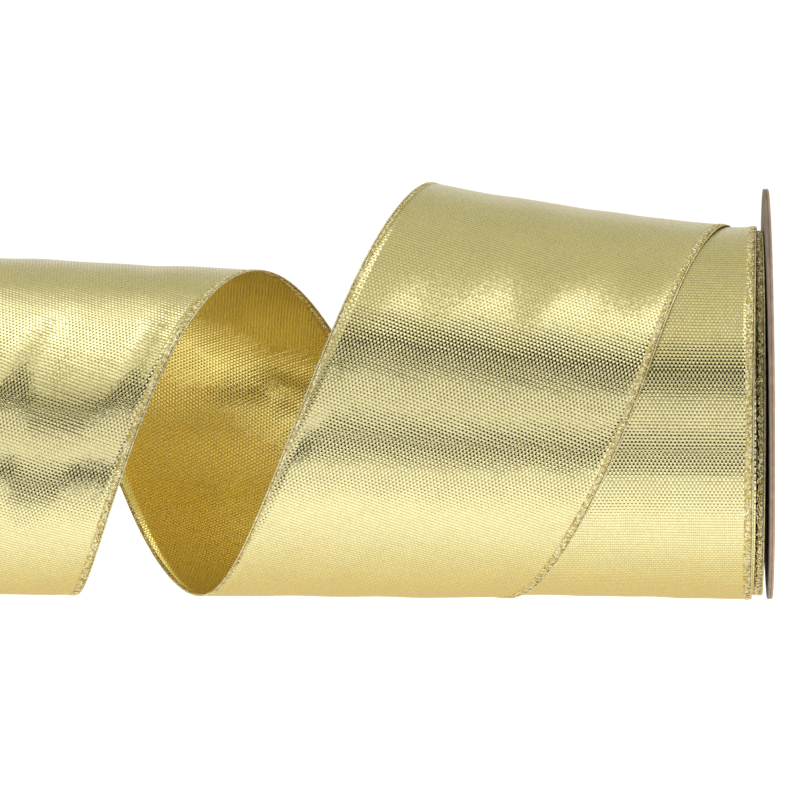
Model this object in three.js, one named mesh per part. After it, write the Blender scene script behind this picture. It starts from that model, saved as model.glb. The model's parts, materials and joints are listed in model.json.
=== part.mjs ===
// A cardboard spool of wired metallic ribbon, with the last metre drawn off in loose coils.
//
// Units are millimetres and +Z is up. The spool's axis lies along X. The model is built about the
// middle of the spool, on the table plane, and moved at the end so that its origin is the centre of
// the bottom of its bounding box.
//
// The loose length is one ruled strip. Each of its two edges turns about the spool's axis while it
// drifts towards -X. A turn count of 0 is the top of the coil that climbs over the left flange; the
// count grows through front, bottom and back, away from the roll and towards the cut end.

import * as THREE from 'three';

// ---------------------------------------------------------------- driving dimensions

const AXIS_HEIGHT = 44.4; // spool axis above the table
const JOINT_GAP = 0.3; // clearance between parts that touch on the real spool
const GLUE_LINE = 0.1; // clearance between layers that are glued face to face

const CORE = { outerRadius: 19, wall: 1.8 };

const FLANGE = {
  radius: 43.5,
  holeRadius: 9,
  innerFace: 33.7, // from the middle of the spool
  board: 0.6,
  facing: 0.4,
};

const TAPE = { thickness: 0.15, width: 40, sweep: Math.PI / 3 };

const ROLL = {
  outerRadius: 33.2,
  rightEnd: 32.9,
  width: 63.5, // width of the ribbon
  edgeBand: 2.3, // width of the wired edge in the wound turns
};

const CLOTH = { thickness: 0.2, inset: 0.8 }; // inset: from the ribbon's border to the cloth's own edge
const WIRE = { radius: 0.15, inset: 0.45, sides: 6 };
const BINDING = { width: 2.3, thickness: 0.64, wall: 0.12 };

const SEGMENTS = 56; // around the spool's round parts
const STEPS_PER_TURN = 30; // along the loose ribbon
const FIRST_STEP = -72; // about 2.4 turns before the coil that climbs over the flange
const LAST_STEP = 50; // about 1.7 turns after it

// ---------------------------------------------------------------- the run of the loose ribbon

// Each list holds [turn, value] stations. 'along' is the border's place on the X axis, 'top' and
// 'bottom' are the heights of its coil, and 'depth' is half of its coil from front to back.
const RIGHT_BORDER = {
  along: [
    [-2.5, 33.2], [-1.5, 33.2], [-1, 32.1], [-0.75, 30.9], [-0.5, 30.9], [-0.25, 30.5], [0, 26.7],
    [0.125, 16.8], [0.25, 6.8], [0.375, -7.6], [0.5, -21.5], [0.75, -51.5], [0.875, -64.2], [1, -74.2],
    [1.25, -94.6], [1.375, -105.1], [1.5, -114.9], [1.75, -134.5],
  ],
  top: [[-3, 78.2], [-2, 78.2], [-1, 79.1], [0, 80], [1, 70.4], [2, 70.2]],
  bottom: [[-2.5, 5.3], [-1.5, 1.2], [-0.5, 0.35], [0.5, 0.32], [1.5, 0.32], [2.5, 0.32]],
  depth: [
    [-2.5, 35.4], [-1.75, 36.4], [-1.25, 38.6], [-0.75, 41.2], [-0.25, 41.5], [0.1, 42.2], [0.25, 42.4],
    [0.75, 40.5], [1.25, 36], [1.75, 35],
  ],
};

const LEFT_BORDER = {
  along: [
    [-2.5, -30.1], [-1.5, -30.1], [-1, -31.8], [-0.75, -33], [-0.5, -33], [-0.25, -33.2], [0, -36.3],
    [0.125, -45.7], [0.25, -58.4], [0.375, -73.2], [0.5, -88.3], [0.625, -106.7], [0.75, -120.2],
    [1, -141.6], [1.25, -162], [1.5, -181.8], [1.75, -201],
  ],
  top: [[-3, 78.2], [-2, 78.2], [-1, 79.1], [0, 89.1], [1, 73.9], [2, 73.5]],
  bottom: [[-2.5, 5.9], [-1.5, 2.1], [-0.5, 1.2], [0.5, 0.32], [1.5, 0.32], [2.5, 0.32]],
  depth: [
    [-2.5, 35.4], [-1.75, 36.4], [-1.25, 38.6], [-0.75, 41.4], [-0.25, 44.8], [0.1, 46.2], [0.25, 45.8],
    [0.75, 43.5], [1.25, 37], [1.75, 36],
  ],
};

// Smooth value of a station list at a turn: cubic between stations, with the slope of its neighbours.
function between(stations, turn) {
  const last = stations.length - 1;
  let i = 0;
  while (i < last - 1 && turn >= stations[i + 1][0]) i += 1;
  const slope = (k) => {
    const [t0, v0] = stations[Math.max(k - 1, 0)];
    const [t1, v1] = stations[Math.min(k + 1, last)];
    return (v1 - v0) / (t1 - t0);
  };
  const [t0, v0] = stations[i];
  const [t1, v1] = stations[i + 1];
  const span = t1 - t0;
  const s = (turn - t0) / span;
  const rise = s * s * (3 - 2 * s);
  return v0 + rise * (v1 - v0) + s * (1 - s) * span * ((1 - s) * slope(i) - s * slope(i + 1));
}

// Vertices stand out this much, so that the flat facets between them lie on the true coil.
const FACET_REACH = 1 / Math.cos(Math.PI / STEPS_PER_TURN);

function borderPoint(border, turn) {
  const angle = 2 * Math.PI * turn;
  const top = between(border.top, turn);
  const bottom = between(border.bottom, turn);
  const depth = between(border.depth, turn) * FACET_REACH;
  const rise = ((top - bottom) / 2) * FACET_REACH;
  return new THREE.Vector3(
    between(border.along, turn),
    -depth * Math.sin(angle),
    (top + bottom) / 2 + rise * Math.cos(angle),
  );
}

// One frame across the ribbon: both borders, the direction between them and the outward normal.
function ribbonFrame(turn) {
  const right = borderPoint(RIGHT_BORDER, turn);
  const left = borderPoint(LEFT_BORDER, turn);
  const across = left.clone().sub(right);
  const width = across.length();
  across.normalize();
  const small = 0.25 / STEPS_PER_TURN;
  const middle = (t) => borderPoint(RIGHT_BORDER, t).add(borderPoint(LEFT_BORDER, t)).multiplyScalar(0.5);
  const forward = middle(turn + small).sub(middle(turn - small));
  const out = across.clone().cross(forward).normalize();
  return { right, left, across, width, out };
}

// Steps are halfway between even fractions of a turn, so a flat facet lies at each top and bottom.
const FRAMES = [];
for (let step = FIRST_STEP; step <= LAST_STEP; step += 1) {
  FRAMES.push(ribbonFrame((step + 0.5) / STEPS_PER_TURN));
}

// ---------------------------------------------------------------- shape helpers

// Gives the volume inside a closed triangle mesh: negative where its faces point inwards.
function signedVolume(positions, triangles) {
  const corner = (k) => new THREE.Vector3().fromArray(positions, 3 * k);
  let volume = 0;
  for (let i = 0; i < triangles.length; i += 3) {
    const [a, b, c] = [corner(triangles[i]), corner(triangles[i + 1]), corner(triangles[i + 2])];
    volume += a.dot(b.cross(c)) / 6;
  }
  return volume;
}

// Makes a geometry from positions and triangles, with its faces turned outwards.
function closedGeometry(positions, triangles) {
  const turned = signedVolume(positions, triangles) < 0 ? [...triangles].reverse() : triangles;
  const geometry = new THREE.BufferGeometry();
  geometry.setAttribute('position', new THREE.Float32BufferAttribute(positions, 3));
  geometry.setIndex(turned);
  geometry.computeVertexNormals();
  return geometry;
}

// Sweeps a section along the loose ribbon. outline(frame) gives [across, out] points, measured from
// the border that 'side' names, and both ends are closed.
function sweepAlongRibbon(side, outline) {
  const direction = side === 'right' ? 1 : -1;
  const positions = [];
  const sections = FRAMES.map((frame) => outline(frame));
  const count = sections[0].length;
  FRAMES.forEach((frame, i) => {
    for (const [across, out] of sections[i]) {
      const point = frame[side].clone();
      point.addScaledVector(frame.across, direction * across).addScaledVector(frame.out, out);
      positions.push(...point.toArray());
    }
  });
  const triangles = [];
  for (let i = 0; i < FRAMES.length - 1; i += 1) {
    for (let k = 0; k < count; k += 1) {
      const [a, b] = [i * count + k, i * count + ((k + 1) % count)];
      triangles.push(a, b, b + count, a, b + count, a + count);
    }
  }
  const flat = sections[0].map(([x, y]) => new THREE.Vector2(x, y));
  const cap = THREE.ShapeUtils.triangulateShape(flat, []);
  const clockwise = THREE.ShapeUtils.isClockWise(flat);
  const end = (FRAMES.length - 1) * count;
  for (const [a, b, c] of cap) {
    const [first, second] = clockwise ? [b, c] : [c, b];
    triangles.push(a, first, second, end + a, end + second, end + first);
  }
  return closedGeometry(positions, triangles);
}

// A ring about the X axis, from one place along it to another.
function ring(innerRadius, outerRadius, from, to) {
  const profile = [
    new THREE.Vector2(innerRadius, from),
    new THREE.Vector2(outerRadius, from),
    new THREE.Vector2(outerRadius, to),
    new THREE.Vector2(innerRadius, to),
    new THREE.Vector2(innerRadius, from),
  ];
  const geometry = new THREE.LatheGeometry(profile, SEGMENTS);
  geometry.rotateZ(-Math.PI / 2);
  return geometry;
}

// ---------------------------------------------------------------- materials

function finish(color, roughness, metalness) {
  return new THREE.MeshStandardMaterial({ color, roughness, metalness, side: THREE.DoubleSide });
}

const KRAFT_TUBE = finish(0xa9835a, 0.9, 0);
const GREY_BOARD = finish(0x8c7a68, 0.95, 0);
const KRAFT_FACING = finish(0xa9876b, 0.85, 0);
const CLEAR_TAPE = finish(0xd9d2bd, 0.3, 0);
const GOLD_CLOTH = finish(0xd8c66a, 0.3, 0.85);
const GOLD_THREAD = finish(0xb79b3e, 0.35, 0.8);
const IRON_WIRE = finish(0x77756f, 0.4, 0.9);

// ---------------------------------------------------------------- the pieces

const spool = new THREE.Group();

function add(name, geometry, material) {
  const mesh = new THREE.Mesh(geometry, material);
  mesh.name = name;
  spool.add(mesh);
  return mesh;
}

// Adds a piece that turns about the spool's axis: its geometry is centred on that axis.
function addTurned(name, geometry, material) {
  add(name, geometry, material).position.z = AXIS_HEIGHT;
}

function addCore() {
  const end = FLANGE.innerFace - JOINT_GAP;
  addTurned('core_tube', ring(CORE.outerRadius - CORE.wall, CORE.outerRadius, -end, end), KRAFT_TUBE);
}

// A flange is a grey board with a kraft facing on its outer side.
function addFlange(name, side) {
  const board = [FLANGE.innerFace, FLANGE.innerFace + FLANGE.board];
  const facing = [board[1] + GLUE_LINE, board[1] + GLUE_LINE + FLANGE.facing];
  const disc = ([inner, outer]) => {
    const [from, to] = side > 0 ? [inner, outer] : [-outer, -inner];
    return ring(FLANGE.holeRadius, FLANGE.radius, from, to);
  };
  addTurned(`${name}_flange_board`, disc(board), GREY_BOARD);
  addTurned(`${name}_flange_facing`, disc(facing), KRAFT_FACING);
}

const TAPE_INNER = CORE.outerRadius + JOINT_GAP;
const ROLL_INNER = TAPE_INNER + TAPE.thickness + JOINT_GAP;
const ROLL_LEFT_END = ROLL.rightEnd - ROLL.width;

// The tape that holds the ribbon's inner end to the core.
function addStartTape() {
  const outline = new THREE.Shape();
  outline.absarc(0, 0, TAPE_INNER + TAPE.thickness, 0, TAPE.sweep, false);
  outline.absarc(0, 0, TAPE_INNER, TAPE.sweep, 0, true);
  const geometry = new THREE.ExtrudeGeometry(outline, {
    depth: TAPE.width,
    bevelEnabled: false,
    curveSegments: 8,
  });
  geometry.rotateY(Math.PI / 2);
  geometry.translate((ROLL.rightEnd + ROLL_LEFT_END - TAPE.width) / 2, 0, 0);
  addTurned('start_tape', geometry, CLEAR_TAPE);
}

// The tight turns: the cloth, and at each end the band where the wired edges lie on each other.
function addRoll() {
  const [left, right] = [ROLL_LEFT_END, ROLL.rightEnd];
  const band = ROLL.edgeBand;
  const layer = (from, to) => ring(ROLL_INNER, ROLL.outerRadius, from, to);
  addTurned('wound_left_edge', layer(left, left + band), GOLD_THREAD);
  addTurned('wound_cloth', layer(left + band + JOINT_GAP, right - band - JOINT_GAP), GOLD_CLOTH);
  addTurned('wound_right_edge', layer(right - band, right), GOLD_THREAD);
}

function addLooseCloth() {
  const half = CLOTH.thickness / 2;
  const outline = ({ width }) => [
    [CLOTH.inset, -half],
    [width - CLOTH.inset, -half],
    [width - CLOTH.inset, half],
    [CLOTH.inset, half],
  ];
  add('ribbon_cloth', sweepAlongRibbon('right', outline), GOLD_CLOTH);
}

// A wired edge is a wire along the border, and a band of thread that wraps it and the cloth's edge.
function addWiredEdge(side) {
  const wireOutline = () => {
    const points = [];
    for (let k = 0; k < WIRE.sides; k += 1) {
      const angle = (2 * Math.PI * k) / WIRE.sides;
      points.push([WIRE.inset + WIRE.radius * Math.cos(angle), WIRE.radius * Math.sin(angle)]);
    }
    return points;
  };
  const half = BINDING.thickness / 2;
  const slot = half - BINDING.wall;
  const bandOutline = () => [
    [0, -half],
    [BINDING.width, -half],
    [BINDING.width, -slot],
    [BINDING.wall, -slot],
    [BINDING.wall, slot],
    [BINDING.width, slot],
    [BINDING.width, half],
    [0, half],
  ];
  add(`${side}_edge_wire`, sweepAlongRibbon(side, wireOutline), IRON_WIRE);
  add(`${side}_edge_binding`, sweepAlongRibbon(side, bandOutline), GOLD_THREAD);
}

addCore();
addFlange('left', -1);
addFlange('right', 1);
addStartTape();
addRoll();
addLooseCloth();
addWiredEdge('left');
addWiredEdge('right');

// Origin at the centre of the bottom of the bounding box.
const box = new THREE.Box3().setFromObject(spool);
const centre = box.getCenter(new THREE.Vector3());
spool.position.set(-centre.x, -centre.y, -box.min.z);

export default spool;
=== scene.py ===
"""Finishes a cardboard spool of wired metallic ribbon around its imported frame.

The CAD holds the spool, its turning axis and plain stand-ins for the ribbon. This script makes the
ribbon as woven cloth with bound, wired borders, the tight turns as one long spiral, and the
cardboard as layered, fibrous board. Sizes are in metres, in the frame's own axes.
"""

import json
import logging
import math
from dataclasses import dataclass, field
from enum import Enum

import bpy
import numpy as np
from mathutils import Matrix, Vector, noise


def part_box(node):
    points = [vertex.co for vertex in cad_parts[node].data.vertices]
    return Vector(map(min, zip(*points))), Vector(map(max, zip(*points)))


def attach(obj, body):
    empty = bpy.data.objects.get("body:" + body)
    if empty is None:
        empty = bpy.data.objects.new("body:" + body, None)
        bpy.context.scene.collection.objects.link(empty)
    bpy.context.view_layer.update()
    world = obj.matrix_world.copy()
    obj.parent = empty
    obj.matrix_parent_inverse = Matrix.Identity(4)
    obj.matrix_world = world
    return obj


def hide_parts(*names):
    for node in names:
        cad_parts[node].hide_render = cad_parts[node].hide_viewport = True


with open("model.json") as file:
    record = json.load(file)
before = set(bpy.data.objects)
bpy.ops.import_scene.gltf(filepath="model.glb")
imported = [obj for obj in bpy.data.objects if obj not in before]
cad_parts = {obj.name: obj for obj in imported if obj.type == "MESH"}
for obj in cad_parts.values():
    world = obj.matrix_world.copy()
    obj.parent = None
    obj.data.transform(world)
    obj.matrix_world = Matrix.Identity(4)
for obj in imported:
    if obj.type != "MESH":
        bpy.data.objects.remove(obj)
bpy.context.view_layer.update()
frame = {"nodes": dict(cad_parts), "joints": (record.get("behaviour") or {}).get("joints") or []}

LOG = logging.getLogger("ribbon_spool")
MM = 0.001
TURN = 2 * math.pi


class Side(Enum):
    """The two borders of the ribbon, and the two ends of the spool."""

    LEFT = "left"
    RIGHT = "right"

    @property
    def sign(self) -> int:
        """Gives the side's direction along the spool's axis."""
        return 1 if self is Side.RIGHT else -1


class Body(Enum):
    """The frame's moving bodies."""

    RIBBON = "ribbon"
    SPOOL = "spool"


# ------------------------------------------------------------------ where things are


@dataclass(frozen=True)
class SpoolPlace:
    """The spool's place in the frame, read from its joint and its nodes."""

    centre: Vector
    flange_radius: float
    core_radius: float

    @classmethod
    def from_frame(cls) -> "SpoolPlace":
        """Reads the spool's place from the frame.

        Returns:
            The place of the spool, in metres.
        """
        axis = Vector(frame["joints"][0]["pos_m"])
        low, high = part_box("core_tube")
        middle = (low.x + high.x) / 2
        board_low, board_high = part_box("right_flange_board")
        return cls(
            centre=Vector((middle, axis.y, axis.z)),
            flange_radius=(board_high.z - board_low.z) / 2,
            core_radius=(high.z - low.z) / 2,
        )


Stations = tuple[tuple[float, float], ...]


@dataclass(frozen=True)
class BorderRun:
    """How one border of the loose ribbon runs, in millimetres from the spool's middle and the table.

    Each list holds (turn, value) stations. The turn is 0 at the top of the coil that climbs over
    the left flange, and grows through front, bottom and back towards the cut end.
    """

    along: Stations
    top: Stations
    bottom: Stations
    depth: Stations


RIGHT_RUN = BorderRun(
    along=(
        (-2.5, 33.2), (-1.5, 33.2), (-1, 32.1), (-0.75, 30.9), (-0.5, 30.9), (-0.25, 30.5), (0, 26.7),
        (0.125, 16.8), (0.25, 6.8), (0.375, -7.6), (0.5, -21.5), (0.75, -51.5), (0.875, -64.2), (1, -74.2),
        (1.25, -94.6), (1.375, -105.1), (1.5, -114.9), (1.75, -134.5),
    ),
    top=((-3, 78.2), (-2, 78.2), (-1, 79.1), (0, 79.6), (1, 70.4), (2, 70.2)),
    bottom=((-2.5, 5.3), (-1.5, 1.2), (-0.5, 0.35), (0.5, 0.32), (1.5, 0.32), (2.5, 0.32)),
    depth=(
        (-2.5, 35.4), (-1.75, 36.4), (-1.25, 38.6), (-0.75, 41.2), (-0.25, 41.5), (0.1, 42.2), (0.25, 42.4),
        (0.75, 40.5), (1.25, 36), (1.75, 35),
    ),
)

LEFT_RUN = BorderRun(
    along=(
        (-2.5, -30.1), (-1.5, -30.1), (-1, -31.8), (-0.75, -33), (-0.5, -33), (-0.25, -33.2), (0, -36.3),
        (0.125, -45.7), (0.25, -58.4), (0.375, -73.2), (0.5, -88.3), (0.625, -106.7), (0.75, -120.2),
        (1, -141.6), (1.25, -162), (1.5, -181.8), (1.75, -201),
    ),
    top=((-3, 78.2), (-2, 78.2), (-1, 79.1), (0, 89.1), (1, 73.9), (2, 73.5)),
    bottom=((-2.5, 5.9), (-1.5, 2.1), (-0.5, 1.2), (0.5, 0.32), (1.5, 0.32), (2.5, 0.32)),
    depth=(
        (-2.5, 35.4), (-1.75, 36.4), (-1.25, 38.6), (-0.75, 41.4), (-0.25, 44.8), (0.1, 46.2), (0.25, 45.8),
        (0.75, 43.5), (1.25, 37), (1.75, 36),
    ),
)


@dataclass
class Ladder:
    """Frames along the loose ribbon: one rung from border to border at each step."""

    turns: np.ndarray
    right: np.ndarray
    left: np.ndarray
    across: np.ndarray
    width: np.ndarray
    out: np.ndarray
    travel: np.ndarray
    slant: np.ndarray

    def border(self, side: Side) -> tuple[np.ndarray, np.ndarray]:
        """Gives a border's points, and the unit directions from it into the cloth.

        Args:
            side: which border.

        Returns:
            Two arrays of vectors, one row for each rung.
        """
        if side is Side.RIGHT:
            return self.right, self.across
        return self.left, -self.across


@dataclass(frozen=True)
class RibbonRun:
    """The run of the whole loose length, from the roll to the cut end."""

    first_turn: float = -2.383
    last_turn: float = 1.683
    steps_per_turn: int = 180
    easing: float = 0.05  # turns over which the stations' corners are eased

    def between(self, stations: Stations, turns: np.ndarray) -> np.ndarray:
        """Gives smooth values between stations, with the slope of each station's neighbours.

        Args:
            stations: (turn, value) pairs in rising order.
            turns: where the values are wanted.

        Returns:
            One value for each turn.
        """
        at = np.array([s[0] for s in stations])
        value = np.array([s[1] for s in stations])
        before = np.maximum(np.arange(len(at)) - 1, 0)
        after = np.minimum(np.arange(len(at)) + 1, len(at) - 1)
        slope = (value[after] - value[before]) / (at[after] - at[before])
        clipped = np.clip(turns, at[0], at[-1])
        i = np.clip(np.searchsorted(at, clipped, side="right") - 1, 0, len(at) - 2)
        span = at[i + 1] - at[i]
        s = (clipped - at[i]) / span
        rise = s * s * (3 - 2 * s)
        bend = s * (1 - s) * span * ((1 - s) * slope[i] - s * slope[i + 1])
        return value[i] + rise * (value[i + 1] - value[i]) + bend

    def eased(self, stations: Stations, turns: np.ndarray) -> np.ndarray:
        """Averages the station values over a short stretch, so that reflections run smoothly.

        Args:
            stations: (turn, value) pairs in rising order.
            turns: where the values are wanted.

        Returns:
            One value for each turn.
        """
        offsets = np.linspace(-2, 2, 17)
        weights = np.exp(-0.5 * offsets**2)
        total = sum(w * self.between(stations, turns + o * self.easing) for o, w in zip(offsets, weights))
        return total / weights.sum()

    def border_points(self, run: BorderRun, turns: np.ndarray, place: SpoolPlace) -> np.ndarray:
        """Places a border in the frame.

        Args:
            run: the border's stations.
            turns: where the points are wanted.
            place: the spool's place.

        Returns:
            An array of points in metres.
        """
        angle = TURN * turns
        top, bottom = self.eased(run.top, turns), self.eased(run.bottom, turns)
        depth, along = self.eased(run.depth, turns), self.eased(run.along, turns)
        height = (top + bottom) / 2 + (top - bottom) / 2 * np.cos(angle)
        return np.stack(
            [
                place.centre.x + along * MM,
                place.centre.y - depth * np.sin(angle) * MM,
                height * MM,
            ],
            axis=1,
        )

    def ladder(self, place: SpoolPlace) -> Ladder:
        """Builds the frames along the ribbon.

        Args:
            place: the spool's place.

        Returns:
            The ladder of frames.
        """
        count = round((self.last_turn - self.first_turn) * self.steps_per_turn)
        turns = np.linspace(self.first_turn, self.last_turn, count + 1)
        right = self.border_points(RIGHT_RUN, turns, place)
        left = self.border_points(LEFT_RUN, turns, place)
        across = left - right
        width = np.linalg.norm(across, axis=1)
        across /= width[:, None]
        middle = (right + left) / 2
        forward = np.gradient(middle, axis=0)
        forward /= np.linalg.norm(forward, axis=1)[:, None]
        out = np.cross(across, forward)
        out /= np.linalg.norm(out, axis=1)[:, None]
        stride = np.linalg.norm(np.diff(middle, axis=0), axis=1)
        travel = np.concatenate([[0.0], np.cumsum(stride)])
        slant = np.einsum("ij,ij->i", across, forward)
        return Ladder(turns, right, left, across, width, out, travel, slant)


# ------------------------------------------------------------------ mesh helpers


def make_object(name: str, points: np.ndarray, faces: list, smooth: bool = True) -> bpy.types.Object:
    """Makes a mesh object that sits at the origin.

    Args:
        name: the piece's name.
        points: its vertices in metres.
        faces: its faces as lists of vertex numbers.
        smooth: whether the faces are shaded smooth.

    Returns:
        The new object, linked to the scene.
    """
    mesh = bpy.data.meshes.new(name)
    mesh.from_pydata([tuple(p) for p in points.tolist()], [], faces)
    mesh.polygons.foreach_set("use_smooth", [smooth] * len(mesh.polygons))
    mesh.update()
    thing = bpy.data.objects.new(name, mesh)
    bpy.context.scene.collection.objects.link(thing)
    return thing


def set_uv(thing: bpy.types.Object, name: str, values: np.ndarray) -> None:
    """Gives every vertex of a mesh a UV, in millimetres along its surface.

    Args:
        thing: the mesh object.
        name: the UV map's name.
        values: one (u, v) row for each vertex.
    """
    layer = thing.data.uv_layers.new(name=name)
    corner = np.empty(len(thing.data.loops), dtype=np.int32)
    thing.data.loops.foreach_get("vertex_index", corner)
    layer.data.foreach_set("uv", values[corner].astype(np.float32).ravel())


def grid_faces(rows: int, columns: int, closed: bool, start: int = 0, flip: bool = False) -> list:
    """Lists the quads of a grid of vertices.

    Args:
        rows: how many rows of vertices.
        columns: how many vertices in a row.
        closed: whether the last column joins the first.
        start: the number of the grid's first vertex.
        flip: whether the quads are turned round.

    Returns:
        The quads as lists of vertex numbers.
    """
    last = columns if closed else columns - 1
    faces = []
    for i in range(rows - 1):
        for k in range(last):
            a, b = start + i * columns + k, start + i * columns + (k + 1) % columns
            quad = [a, b, b + columns, a + columns]
            faces.append(quad[::-1] if flip else quad)
    return faces


def sweep(name: str, ladder: Ladder, side: Side, section: list[tuple[float, float]]) -> bpy.types.Object:
    """Sweeps a section along a border of the loose ribbon and closes both ends.

    Args:
        name: the piece's name.
        ladder: the frames along the ribbon.
        side: the border that the section is measured from.
        section: (across, out) points in millimetres, anticlockwise with across to the right.

    Returns:
        The swept piece, with a UV map of (around, along) in millimetres.
    """
    border, inward = ladder.border(side)
    shape = np.array(section) * MM
    points = (
        border[:, None, :]
        + inward[:, None, :] * shape[None, :, :1]
        + ladder.out[:, None, :] * shape[None, :, 1:]
    )
    rows, columns = points.shape[:2]
    faces = grid_faces(rows, columns, closed=True, flip=side is Side.LEFT)
    first, last = list(range(columns)), [(rows - 1) * columns + k for k in range(columns)]
    if side is Side.LEFT:
        faces += [first, last[::-1]]
    else:
        faces += [first[::-1], last]
    thing = make_object(name, points.reshape(-1, 3), faces)
    around = np.concatenate([[0.0], np.cumsum(np.linalg.norm(np.diff(np.array(section), axis=0), axis=1))])
    u, v = np.meshgrid(around, ladder.travel / MM)
    set_uv(thing, "thread", np.stack([u.ravel(), v.ravel()], axis=1))
    turn_outwards(thing)
    return thing


def turned(
    name: str, outline: list[tuple[float, float]], place: SpoolPlace, segments: int
) -> bpy.types.Object:
    """Turns a closed outline about the spool's axis.

    Args:
        name: the piece's name.
        outline: (radius, along) points in metres, measured from the spool's centre.
        place: the spool's place.
        segments: how many steps around.

    Returns:
        The turned ring.
    """
    angle = np.arange(segments) / segments * TURN
    shape = np.array(outline)
    points = np.stack(
        [
            np.broadcast_to(shape[None, :, 1], (segments, len(outline))) + place.centre.x,
            place.centre.y + shape[None, :, 0] * np.cos(angle)[:, None],
            place.centre.z + shape[None, :, 0] * np.sin(angle)[:, None],
        ],
        axis=2,
    ).reshape(-1, 3)
    columns = len(outline)
    faces = []
    for i in range(segments):
        for k in range(columns):
            a, b = i * columns + k, i * columns + (k + 1) % columns
            c, d = (i + 1) % segments * columns + k, (i + 1) % segments * columns + (k + 1) % columns
            faces.append([a, b, d, c])
    thing = make_object(name, points, faces)
    turn_outwards(thing)
    return thing


def turn_outwards(thing: bpy.types.Object) -> None:
    """Turns a closed mesh's faces outwards, if the volume inside them is negative.

    Args:
        thing: the mesh object.
    """
    mesh = thing.data
    mesh.calc_loop_triangles()
    points = np.array([v.co for v in mesh.vertices])
    triangles = np.array([t.vertices for t in mesh.loop_triangles])
    a, b, c = (points[triangles[:, k]] - points.mean(0) for k in range(3))
    if np.einsum("ij,ij->i", a, np.cross(b, c)).sum() < 0:
        mesh.flip_normals()


# ------------------------------------------------------------------ node helpers


class Graph:
    """Adds nodes to a shader or geometry tree and wires them with short calls."""

    def __init__(self, tree: bpy.types.NodeTree) -> None:
        """Keeps the tree that is being built."""
        self.tree = tree

    def node(self, kind: str, **settings: object) -> bpy.types.Node:
        """Adds a node.

        Args:
            kind: the node's type.
            **settings: properties to set on it.

        Returns:
            The new node.
        """
        node = self.tree.nodes.new(kind)
        for key, value in settings.items():
            setattr(node, key, value)
        return node

    def feed(self, socket: bpy.types.NodeSocket, value: object) -> None:
        """Links a socket to another one, or sets its value.

        Args:
            socket: the input socket.
            value: an output socket, or a plain value.
        """
        if isinstance(value, bpy.types.NodeSocket):
            self.tree.links.new(value, socket)
        else:
            socket.default_value = value

    def call(self, kind: str, inputs: dict, output: object = 0, **settings: object) -> bpy.types.NodeSocket:
        """Adds a node, feeds its inputs and gives one of its outputs.

        Args:
            kind: the node's type.
            inputs: values or sockets by input name or number.
            output: the wanted output's name or number.
            **settings: properties to set on the node first.

        Returns:
            The output socket.
        """
        node = self.node(kind, **settings)
        for key, value in inputs.items():
            self.feed(node.inputs[key], value)
        return node.outputs[output]

    def math(self, operation: str, *values: object, clamp: bool = False) -> bpy.types.NodeSocket:
        """Adds a Math node.

        Args:
            operation: the node's operation.
            *values: its operands.
            clamp: whether the result is held between 0 and 1.

        Returns:
            The result.
        """
        return self.call("ShaderNodeMath", dict(enumerate(values)), operation=operation, use_clamp=clamp)

    def fade(
        self, value: object, start: float, end: float, low: float = 0.0, high: float = 1.0
    ) -> bpy.types.NodeSocket:
        """Gives a smooth step from low at start to high at end.

        Args:
            value: the socket that is read.
            start: where the step begins.
            end: where the step ends.
            low: the result before it.
            high: the result after it.

        Returns:
            The result socket.
        """
        inputs = {"Value": value, "From Min": start, "From Max": end, "To Min": low, "To Max": high}
        return self.call("ShaderNodeMapRange", inputs, interpolation_type="SMOOTHSTEP")

    def blend(self, factor: object, first: object, second: object) -> bpy.types.NodeSocket:
        """Mixes two colours.

        Args:
            factor: how much of the second.
            first: a colour or socket.
            second: a colour or socket.

        Returns:
            The mixed colour.
        """
        node = self.node("ShaderNodeMix", data_type="RGBA", blend_type="MIX")
        self.feed(node.inputs[0], factor)
        self.feed(node.inputs[6], first)
        self.feed(node.inputs[7], second)
        return node.outputs[2]

    def noise(
        self, vector: object, scale: float, detail: float = 2.0, roughness: float = 0.5
    ) -> bpy.types.NodeSocket:
        """Adds a noise texture.

        Args:
            vector: the coordinates.
            scale: its scale for each unit of them.
            detail: its octaves.
            roughness: how strong the fine octaves are.

        Returns:
            Its value socket.
        """
        inputs = {"Vector": vector, "Scale": scale, "Detail": detail, "Roughness": roughness}
        return self.call("ShaderNodeTexNoise", inputs)


Colour = tuple[float, float, float]


def rgba(colour: Colour) -> tuple[float, float, float, float]:
    """Adds full opacity to a colour."""
    return (*colour, 1.0)


class Finish:
    """A surface finish that makes its Blender material once."""

    name: str

    def material(self) -> bpy.types.Material:
        """Gives the finish's material, and makes it the first time.

        Returns:
            The material.
        """
        known = bpy.data.materials.get(self.name)
        if known:
            return known
        made = bpy.data.materials.new(self.name)
        made.use_nodes = True
        graph = Graph(made.node_tree)
        shader = made.node_tree.nodes["Principled BSDF"]
        self.paint(graph, shader)
        return made

    def paint(self, graph: Graph, shader: bpy.types.Node) -> None:
        """Wires the finish's pattern to the shader. Each finish has its own."""
        raise NotImplementedError


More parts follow.
